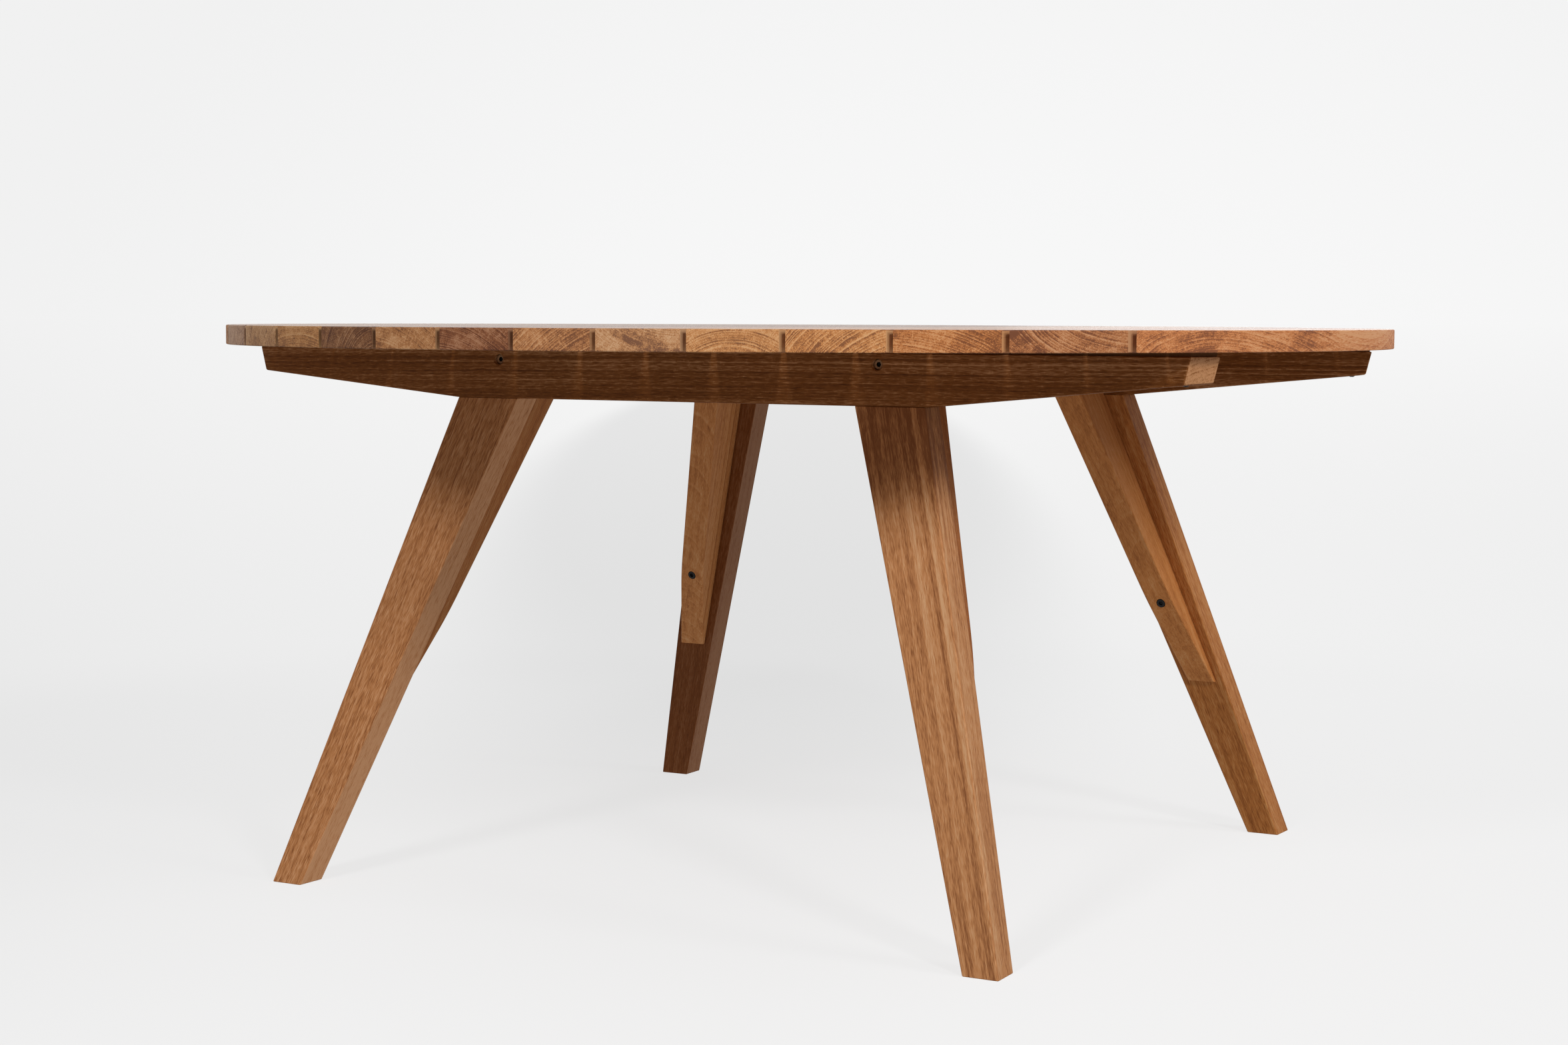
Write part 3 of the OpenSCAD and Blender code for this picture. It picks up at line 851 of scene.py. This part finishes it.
def timber_material(
    name, heart, along, seed, colour, dark=(0.47, 0.38, 0.33), pale_colour=None, pale=0.0, pale_way=None,
    pale_from=0.7, pale_both=True, fade=None, rough=0.4, **values
):
    """Oiled wood for one piece. Object coordinates are turned so that Z runs along the fibres, and moved so
    that the tree's heart lies on it. The dark shade is a share of the middle colour, and the pale one a power
    of it if none is given. Either faces that look along the pale way, or against it too, are paler, or the
    wood fades darker from one height to another. Faces that look up are smoother. Further values are the
    group's inputs, with underscores for spaces."""
    material, tree, shader = new_material(name)
    along = Vector(along).normalized()
    across = along.cross(Vector((0, 0, 1)) if abs(along.z) < 0.9 else Vector((1, 0, 0))).normalized()
    turn = Matrix((across, along.cross(across), along))
    place = coordinates(tree)
    mapping = node(tree, "Mapping", {
        "Vector": place["Object"], "Rotation": turn.to_euler(), "Location": -(turn @ Vector(heart)),
    })
    wood = node(tree, "Group", node_tree=bpy.data.node_groups["timber"])
    shades = {
        "Pale": pale_colour or [channel ** PALE_POWER for channel in colour],
        "Middle": colour,
        "Dark": [channel * share for channel, share in zip(colour, dark)],
    }
    for label, shade in shades.items():
        wood.inputs[label].default_value = (*shade, 1)
    wood.inputs["Seed"].default_value = seed
    for key, value in values.items():
        wood.inputs[key.replace("_", " ").title()].default_value = value
    link(mapping.outputs[0], wood.inputs["Vector"])
    # Faces that look along the pale way are made paler: painted light on the slats' gap walls, the bearers'
    # end faces and two leg boards' sides, and a paler tone on the cross rails' ends.
    if pale:
        facing = vector_calc("DOT_PRODUCT", place["Normal"], pale_way)
        if pale_both:
            facing = calc("ABSOLUTE", facing)
        pale_ends_and_painted_light = ramp(facing, pale_from, pale_from + PALE_EASE, 0.0, -pale)
        link(pale_ends_and_painted_light, wood.inputs["Tone"])
    if fade:
        low, high, darker = fade
        height = split(place["Object"])["Z"]
        link(ramp(height, low, high, 0.0, darker), wood.inputs["Tone"])
    up = split(place["Normal"])["Z"]
    link(ramp(up, 0.7, 0.95, SIDES_ROUGH, rough), wood.inputs["Rough"])
    link(wood.outputs["Color"], shader["Base Color"])
    link(wood.outputs["Roughness"], shader["Roughness"])
    shader["Specular IOR Level"].default_value = WOOD_GLOSS
    add_bump(shader, wood.outputs["Height"], 0.25, 0.0003)
    return material


# Each slat's figure: the heart's place sideways and up from the slat's middle, ring width, ring strength,
# broad unevenness, a band's distance from the heart, half width and depth, and the middle colour
SLAT_FIGURES = [
    ((0.06, -0.09), 0.0040, 0.7, 0.4, (0.1, 0.01, 0.0), (0.42, 0.2, 0.085)),
    ((-0.05, -0.08), 0.0038, 0.7, 0.4, (0.1, 0.01, 0.0), (0.4, 0.18, 0.075)),
    ((0.08, -0.1), 0.0034, 0.4, 0.3, (0.1, 0.01, 0.0), (0.33, 0.18, 0.1)),
    ((0.12, -0.07), 0.0030, 0.8, 0.5, (0.1, 0.01, 0.0), (0.36, 0.18, 0.075)),
    ((0.01, -0.16), 0.0034, 0.7, 0.6, (0.16, 0.008, 0.2), (0.36, 0.16, 0.055)),
    ((0.05, -0.05), 0.0030, 0.9, 0.6, (0.06, 0.012, 0.3), (0.19, 0.08, 0.033)),
    ((-0.06, -0.13), 0.0034, 0.7, 0.6, (0.13, 0.012, -0.25), (0.35, 0.15, 0.055)),
    ((-0.05, -0.13), 0.0030, 0.9, 0.7, (0.15, 0.014, 0.35), (0.22, 0.08, 0.033)),
    ((0.137, -0.187), 0.0031, 0.9, 0.6, (0.23, 0.012, 0.15), (0.4, 0.165, 0.06)),
    ((0.05, 0.12), 0.0034, 0.7, 0.7, (0.138, 0.006, 0.75), (0.42, 0.195, 0.08)),
    ((0.008, -0.075), 0.0036, 1.0, 0.5, (0.105, 0.014, -0.4), (0.47, 0.2, 0.068)),
    ((0.084, -0.094), 0.0036, 0.9, 0.6, (0.13, 0.02, 0.15), (0.48, 0.195, 0.063)),
    ((-0.055, -0.15), 0.0030, 0.9, 0.6, (0.16, 0.012, 0.2), (0.43, 0.155, 0.047)),
    ((0.06, 0.07), 0.0034, 0.9, 0.7, (0.118, 0.01, 0.8), (0.365, 0.135, 0.048)),
    ((-0.01, -0.05), 0.0040, 0.7, 0.9, (0.04, 0.01, 0.5), (0.5, 0.18, 0.06)),
]
SLAT_DARK = (0.44, 0.42, 0.54)

# The bearers' and cross rails' wood, and the paler colour of the bearers' end faces, which is painted light
BEARER_COLOUR = (0.2, 0.065, 0.012)
BEARER_END_PAINTED_LIGHT = (0.49, 0.24, 0.108)
BEARER_SEEDS = {"bearer_front": 61.0, "bearer_back": 67.0}
RAIL_SEED = 71.0

# The legs' wood: each piece's middle colour
LEG_COLOURS = {
    "leg_board_front_left": (0.425, 0.175, 0.062),
    "leg_board_front_right": (0.46, 0.2, 0.075),
    "leg_board_back_right": (0.405, 0.145, 0.035),
    "leg_board_back_left": (0.172, 0.05, 0.01),
    "leg_fin_front_left": (0.375, 0.132, 0.032),
    "leg_fin_front_right": (0.34, 0.115, 0.027),
    "leg_fin_back_right": (0.475, 0.18, 0.05),
    "leg_fin_back_left": (0.485, 0.19, 0.058),
}

# Where a leg's wood is unlike the others': paler side faces that look along X, which is painted light,
# an evener figure, a dark upper end
LEG_SPECIALS = {
    # Painted light: this board's side faces that look along X are paler and greyer than its dark front.
    "leg_board_back_left": {
        "pale": 0.5, "pale_way": (1, 0, 0), "pale_from": 0.8, "pale_colour": (0.28, 0.125, 0.056),
        "stripes": 0.25, "fibres": 0.35,
    },
    # Painted light: this board's side faces that look along X are paler.
    "leg_board_front_left": {
        "pale": 0.45, "pale_way": (1, 0, 0), "pale_from": 0.8, "pale_colour": (0.57, 0.29, 0.14),
        "stripes": 0.2, "rings": 0.1, "fibres": 0.65, "flecks": 0.7,
    },
    "leg_board_front_right": {"fade": (0.515, 0.605, 0.4)},
    "leg_board_back_right": {"stripes": 0.35},
    "leg_fin_back_right": {"rings": 0.12},
}


def middle_of(name):
    low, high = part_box(name)
    return (low + high) / 2


def slat_wood(number):
    """A slat's wood, with the fibres nearly along it. Both its sides are painted paler, as painted light
    falling into the gaps between the slats, but on the first and last slats only the one that looks at the
    table's middle."""
    name = SLATS[number]
    (aside, up), ring, rings, broad, (place, width, depth), colour = SLAT_FIGURES[number]
    slope = (0.012 * math.sin(number * 2.1), 1, 0.008 * math.cos(number * 1.7))
    return timber_material(
        name + " wood", middle_of(name) + Vector((aside, 0, up)), slope, number * 3.7, colour, dark=SLAT_DARK,
        # Painted light: the slats' sides, which look along X and face into the gaps, are made paler.
        pale=1.0, pale_way=(1 if number == 0 else -1, 0, 0), pale_from=0.97,
        pale_both=number not in (0, len(SLATS) - 1), rough=0.26, ring_width=ring, rings=rings, broad=broad,
        fibres=0.55, flecks=0.6, band_place=place, band_width=width, band_depth=depth,
    )


def bearer_wood(name):
    """A bearer's wood, with the fibres nearly along it and its end faces painted paler: painted light."""
    return timber_material(
        name + " wood", middle_of(name) + Vector((0, 0.05, -0.16)), (1, 0.004, 0.008), BEARER_SEEDS[name],
        BEARER_COLOUR, pale=0.46, pale_way=(1, 0, 0), pale_colour=BEARER_END_PAINTED_LIGHT, ring_width=0.0045,
        rings=0.4, broad=0.2, stripes=0.22, fibres=0.42, flecks=0.1,
    )


def rail_wood(name):
    middle = middle_of(name)
    return timber_material(
        name + " wood", middle + Vector((0.05, 0, -0.1)), (0, 1, 0.01), RAIL_SEED + middle.x, BEARER_COLOUR,
        pale=0.3, pale_way=(0, 1, 0), ring_width=0.005, rings=0.35, broad=0.25, stripes=0.35, fibres=0.4,
        flecks=0.2,
    )


def leg_wood(name, side, end):
    """The wood of a leg board or a fin, with the fibres along the leg."""
    fin = name.startswith("leg_fin")
    run = at_leg(np.array([leg_x(BEARER_LOW) - leg_x(0), BEARER_OUT - FOOT_OUT, BEARER_LOW]), side, end)
    heart = middle_of(name) + Vector((side * 0.03, end * 0.13, 0))
    seed = (100.0 if fin else 80.0) + side * 3 + end * 7
    rings, stripes, fibres = (0.3, 0.3, 0.3) if fin else (0.15, 0.6, 0.5)
    values = dict(ring_width=0.0038, rings=rings, stripes=stripes, broad=0.2, fibres=fibres, flecks=0.3)
    values.update(LEG_SPECIALS.get(name, {}))
    return timber_material(name + " wood", heart, run, seed, LEG_COLOURS[name], wander=0.0025, **values)


def plain_material(name, colour, roughness, metallic, grain, depth, gloss=0.5):
    """A plain finish, made only the first time. Noise moves its colour and roughness a little and lifts its
    surface."""
    if name in bpy.data.materials:
        return bpy.data.materials[name]
    material, tree, shader = new_material(name)
    sockets = {"Vector": coordinates(tree)["Object"], "Scale": grain, "Detail": 3.0}
    speckle = node(tree, "TexNoise", sockets).outputs["Fac"]
    darker, lighter = ((*(channel * share for channel in colour), 1) for share in (0.7, 1.3))
    link(blend(speckle, darker, lighter), shader["Base Color"])
    link(calc("*+", speckle, 0.2, roughness - 0.1), shader["Roughness"])
    shader["Metallic"].default_value = metallic
    shader["Specular IOR Level"].default_value = gloss
    add_bump(shader, speckle, 0.3, depth)
    return material


def blackened_steel():
    return plain_material(
        "blackened steel", (0.012, 0.012, 0.013), roughness=0.42, metallic=0.6, grain=900, depth=0.00005)


def bronzed_steel():
    """Dull bronze on the flat of the bearer bolts' heads, and nearly black below it, in their sockets:
    painted shade.
    """
    material = plain_material(
        "bronzed steel", (0.3, 0.155, 0.075), roughness=0.6, metallic=0.0, grain=900, depth=0.00005,
        gloss=0.15)
    tree = material.node_tree
    base = tree.nodes["Principled BSDF"].inputs["Base Color"]
    bronze = base.links[0].from_socket
    out = split(coordinates(tree)["Object"])["Y"]
    flat = BEARER_OUT - BEARER_BOLT_SINK
    # Painted shade: the colour turns nearly black below the head's flat, down in the socket's recess.
    shown = ramp(calc("ABSOLUTE", out), flat - 0.0016, flat - 0.0008)
    link(blend(shown, (0.004, 0.003, 0.003, 1), bronze), base)
    return material


def spacer_rubber_gap_shade():
    # The spacer strips' rubber, coloured dark brown: partly painted shade of the gap between the slats and
    # the bearers.
    return plain_material(
        "spacer rubber and gap shade", (0.09, 0.034, 0.011), roughness=0.9, metallic=0.0, grain=500, depth=0.0001, gloss=0.1)


def turned_brass():
    return plain_material(
        "turned brass", (0.6, 0.42, 0.16), roughness=0.3, metallic=1.0, grain=700, depth=0.00005)


def beech():
    return timber_material("beech", (0.3, 0.3, 0.6), (0, 0, 1), 5.0, (0.6, 0.42, 0.25), rings=0.3, fibres=0.3)


def dress_node(name, material):
    """Gives a model node that stays in view its finish."""
    mesh = frame["nodes"][name].data
    mesh.materials.clear()
    mesh.materials.append(material)


# The studio


# The photograph's camera, as fitted: place, direction, and focal length in pixels of the full picture
CAMERA_PLACE = Vector((1.7751, -3.2546, 0.7644))
CAMERA_YAW = -0.50848
CAMERA_PITCH = -0.07814
CAMERA_ROLL = 0.00412
FOCAL_PIXELS = 3958.0
PICTURE_WIDTH = 2353
SENSOR_WIDTH = 36

# The backdrop: the direction it is brightest in, how far round that this reaches, and its two levels
BACKDROP_WAY = Vector((math.sin(-0.409), math.cos(-0.409), -0.2)).normalized()
BACKDROP_EDGE = 0.897
BACKDROP_LEVELS = (0.879, 0.938)

# The floor's size, and the place from which it takes the backdrop's directions
FLOOR_RADIUS = 300
FLOOR_PLACES = 96
SWEEP_PLACE = (2, -6, 0)

# The floor's shading: its fall about a point, and the long oval of shade behind the table
FLOOR_FALL = 0.682
FALL_PLACE = (-2.5, -2.8, 0)
FALL_SOFT = 1.27
OVAL_WAY = Vector((-0.487, 0.873, 0))
OVAL_FAR = 15.35
OVAL_ASIDE = 0.11
OVAL_LONG = 17.17
OVAL_WIDE = 1.45
OVAL_FLAT = 0.74
OVAL_DEEP = 0.107

# The share of real shade in the floor, its paint, and the light of the room and of the ground
SHADE_SHARE = 0.204
FLOOR_PAINT = 0.85
ROOM_LIGHT = 0.19
GROUND_LIGHT = 0.535

# What gloss sees: the levels of the room and of a round white card, and where the card is and ends
SHEEN_LEVELS = (1.1, 2.2)
CARD_WAY = Vector((math.sin(math.radians(-14)), math.cos(math.radians(-14)), 0.02)).normalized()
CARD_EDGE = (math.cos(math.radians(10.8)), math.cos(math.radians(10.2)))
WHITE = (1, 1, 1, 1)

LAMP_AIM = Vector((0, 0, 0.5))


def make_camera():
    """The photograph's camera, turned from level by its yaw, its pitch and its roll."""
    forward = Vector((
        math.sin(CAMERA_YAW) * math.cos(CAMERA_PITCH), math.cos(CAMERA_YAW) * math.cos(CAMERA_PITCH),
        math.sin(CAMERA_PITCH),
    ))
    level = Vector((math.cos(CAMERA_YAW), -math.sin(CAMERA_YAW), 0))
    above = level.cross(forward)
    right = level * math.cos(CAMERA_ROLL) + above * math.sin(CAMERA_ROLL)
    up = above * math.cos(CAMERA_ROLL) - level * math.sin(CAMERA_ROLL)
    data = bpy.data.cameras.new("camera")
    data.sensor_width = SENSOR_WIDTH
    data.lens = SENSOR_WIDTH * FOCAL_PIXELS / PICTURE_WIDTH
    data.clip_start, data.clip_end = 0.05, 1000
    camera = add_object("camera", data)
    place = Matrix((right, up, -forward)).transposed().to_4x4()
    place.translation = CAMERA_PLACE
    camera.matrix_world = place
    bpy.context.scene.camera = camera


def lamp(name, azimuth, elevation, distance, width, height, strength):
    """A soft box: an area lamp at a direction and distance from its aim. Azimuth 0 is in front of the table,
    and positive towards +X. The strength is the light it would throw square on a surface at its aim."""
    data = bpy.data.lights.new(name, "AREA")
    data.shape = "RECTANGLE"
    data.size, data.size_y = width, height
    data.energy = strength * math.pi * distance ** 2
    turn, rise = math.radians(azimuth), math.radians(elevation)
    away = Vector((math.sin(turn) * math.cos(rise), -math.cos(turn) * math.cos(rise), math.sin(rise)))
    box = add_object(name, data)
    box.location = LAMP_AIM + away * distance
    box.rotation_euler = away.to_track_quat("Z", "Y").to_euler()


def backdrop(direction):
    """How bright the backdrop looks in a direction: brightest behind the table, a little to the right."""
    toward = vector_calc("DOT_PRODUCT", direction, BACKDROP_WAY)
    return ramp(toward, BACKDROP_EDGE, 1.0, *BACKDROP_LEVELS)


def floor_level(place):
    """How bright the floor looks at a place. Far off it has the backdrop's level. Nearer it is less by a fall
    that shrinks with the distance from a point, and behind the table by a long soft oval of shade."""
    level = backdrop(vector_calc("NORMALIZE", vector_calc("-", place, SWEEP_PLACE)))
    distance = vector_calc("DISTANCE", place, FALL_PLACE)
    fall = calc("/", FLOOR_FALL, calc("+", distance, FALL_SOFT))
    far = vector_calc("DOT_PRODUCT", place, OVAL_WAY)
    aside = vector_calc("DOT_PRODUCT", place, (OVAL_WAY.y, -OVAL_WAY.x, 0))
    long_share = calc("/", calc("-", far, OVAL_FAR), OVAL_LONG)
    wide_share = calc("/", calc("+", aside, OVAL_ASIDE), OVAL_WIDE)
    square = calc("*+", long_share, long_share, calc("*", wide_share, wide_share))
    oval = ramp(calc("SQRT", square), OVAL_FLAT, 1.0, OVAL_DEEP, 0.0)
    return calc("-", calc("-", level, fall), oval)


def source(tree, kind, colour, strength):
    return node(tree, kind, {"Color": colour, "Strength": strength}).outputs[0]


def either(share, first, second):
    return node(first.id_data, "MixShader", {0: share, 1: first, 2: second}).outputs[0]


def make_floor():
    """A wide pale floor that runs into the backdrop. It glows as bright as it should look, less what its
    share of real paint, mixed in for the shade, gives back of the room's light. Rays that light the table
    meet a plain grey glow instead."""
    mesh = bpy.data.meshes.new("floor")
    circle = turned_rings([(FLOOR_RADIUS, 0)], FLOOR_PLACES)[0]
    mesh.from_pydata(circle, [], [list(range(FLOOR_PLACES))])
    floor = add_object("floor", mesh)
    material = bpy.data.materials.new("pale floor")
    material.use_nodes = True
    tree = material.node_tree
    tree.nodes.clear()
    level = floor_level(coordinates(tree)["Object"])
    level = calc("-", level, SHADE_SHARE * FLOOR_PAINT * ROOM_LIGHT)
    glow = source(tree, "Emission", level, 1 / (1 - SHADE_SHARE))
    paint = node(tree, "BsdfDiffuse", {"Color": (*[FLOOR_PAINT] * 3, 1)}).outputs[0]
    bounce = source(tree, "Emission", WHITE, GROUND_LIGHT)
    seen = node(tree, "LightPath").outputs["Is Camera Ray"]
    both = either(seen, bounce, either(SHADE_SHARE, glow, paint))
    node(tree, "OutputMaterial", {"Surface": both})
    mesh.materials.append(material)


def make_world():
    """The backdrop for the camera. Gloss sees a brighter room, with a white card low behind the table. The
    light that falls on things comes from a dimmer room, so that the lamps do most of the work."""
    world = bpy.data.worlds.new("studio")
    world.use_nodes = True
    tree = world.node_tree
    tree.nodes.clear()
    direction = coordinates(tree)["Generated"]
    card = ramp(vector_calc("DOT_PRODUCT", direction, CARD_WAY), *CARD_EDGE, *SHEEN_LEVELS)
    wall = source(tree, "Background", backdrop(direction), 1.0)
    sheen = source(tree, "Background", card, 1.0)
    room = source(tree, "Background", WHITE, ROOM_LIGHT)
    path = node(tree, "LightPath").outputs
    glossy = calc("MAXIMUM", path["Is Glossy Ray"], path["Is Transmission Ray"])
    both = either(path["Is Camera Ray"], either(glossy, room, sheen), wall)
    node(tree, "OutputWorld", {"Surface": both})
    bpy.context.scene.world = world


def light_studio():
    """Soft boxes: one straight in front, one farther off on the right, and a wide one at the right end."""
    lamp("front soft box", azimuth=1.5, elevation=29.5, distance=5, width=0.7, height=0.85, strength=1.13)
    lamp("right soft box", azimuth=56, elevation=29, distance=8, width=1, height=1.1, strength=0.9)
    lamp("side soft box", azimuth=91, elevation=25, distance=7.5, width=2, height=2, strength=0.87)
    bpy.context.scene.view_settings.view_transform = "Standard"


# Making the table

make_timber()
for slat_number in range(len(SLATS)):
    make_slat(slat_number)
for table_end in SIDES:
    make_bearer(table_end)
    make_slat_screws(table_end)
    for table_side in SIDES:
        make_leg_board(table_side, table_end)
        make_fin(table_side, table_end)
for table_side in SIDES:
    make_rail(table_side)
make_leg_bolts()
make_bearer_bolts()
for strip in ("spacer_strip_front", "spacer_strip_back"):
    dress_node(strip, spacer_rubber_gap_shade())
for inserts in ("leg_inserts", "bearer_inserts"):
    dress_node(inserts, turned_brass())
dress_node("leg_dowels", beech())

make_floor()
make_world()
light_studio()
make_camera()
